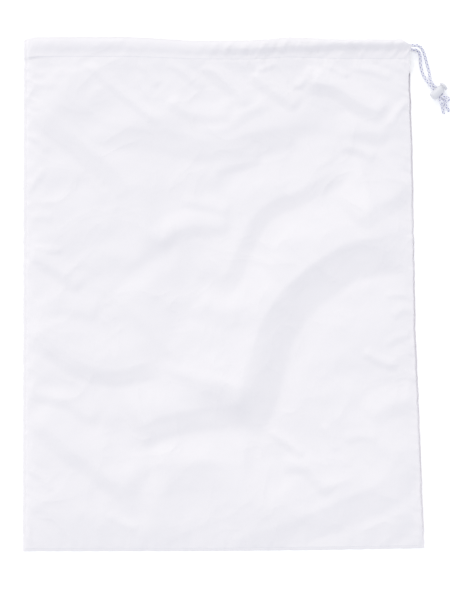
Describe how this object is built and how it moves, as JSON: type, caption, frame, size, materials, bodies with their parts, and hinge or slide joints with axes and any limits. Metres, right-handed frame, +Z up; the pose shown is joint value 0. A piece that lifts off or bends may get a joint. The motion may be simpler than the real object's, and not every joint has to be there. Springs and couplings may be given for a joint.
{
  "type": "drawstring laundry bag",
  "caption": "Flat rectangular cloth bag with a drawcord casing round its mouth and a sprung cord lock above the end knot.",
  "frame": {"origin": "centre of the bag's footprint, on the surface it lies on", "axes": "+X across the bag towards the cord's exit, +Y along the bag towards its mouth, +Z up, out of the front panel"},
  "size_m": [0.595, 0.711, 0.0158],
  "materials": {
    "nylon": "satin",
    "thread": "matte",
    "drawcord": "matte",
    "lock_plastic": "satin",
    "spring_steel": "satin"
  },
  "bodies": {
    "bag": {"back_casing_hem": "nylon", "back_casing_stitching": "thread", "back_panel": "nylon", "bottom_overlock_thread": "thread", "bottom_seam_allowance": "nylon", "bottom_topstitching": "thread", "drawcord_run": "drawcord", "exit_bar_tack": "thread", "front_casing_hem": "nylon", "front_casing_stitching": "thread", "front_panel": "nylon", "left_overlock_thread": "thread", "left_seam_allowance": "nylon", "left_seam_stitching": "thread", "right_overlock_thread": "thread", "right_seam_allowance": "nylon", "right_seam_stitching": "thread"},
    "cord_end": {"outer_cord_strand": "drawcord", "inner_cord_strand": "drawcord", "cord_knot": "drawcord", "long_cord_tail": "drawcord", "short_cord_tail": "drawcord"},
    "lock_barrel": {"lock_barrel": "lock_plastic", "lock_spring": "spring_steel"},
    "lock_plunger": {"lock_plunger": "lock_plastic"}
  },
  "joints": [
    {"name": "cord_swing", "type": "hinge", "parent": "bag", "child": "cord_end", "pos_m": [0.258, 0.34325, 0.0079], "axis": [0, 0, 1], "range_deg": [-15, 70], "deforming": ["outer_cord_strand", "inner_cord_strand"]},
    {"name": "lock_slide", "type": "slide", "parent": "cord_end", "child": "lock_barrel", "axis": [-0.7071, 0.7071, 0], "range_m": [0, 0.016], "deforming": ["outer_cord_strand", "inner_cord_strand"]},
    {"name": "plunger_press", "type": "slide", "parent": "lock_barrel", "child": "lock_plunger", "axis": [-0.7071, -0.7071, 0], "range_m": [0, 0.0028], "stiffness_N_per_m": 500, "springref_m": -0.004, "deforming": ["lock_spring"]}
  ]
}
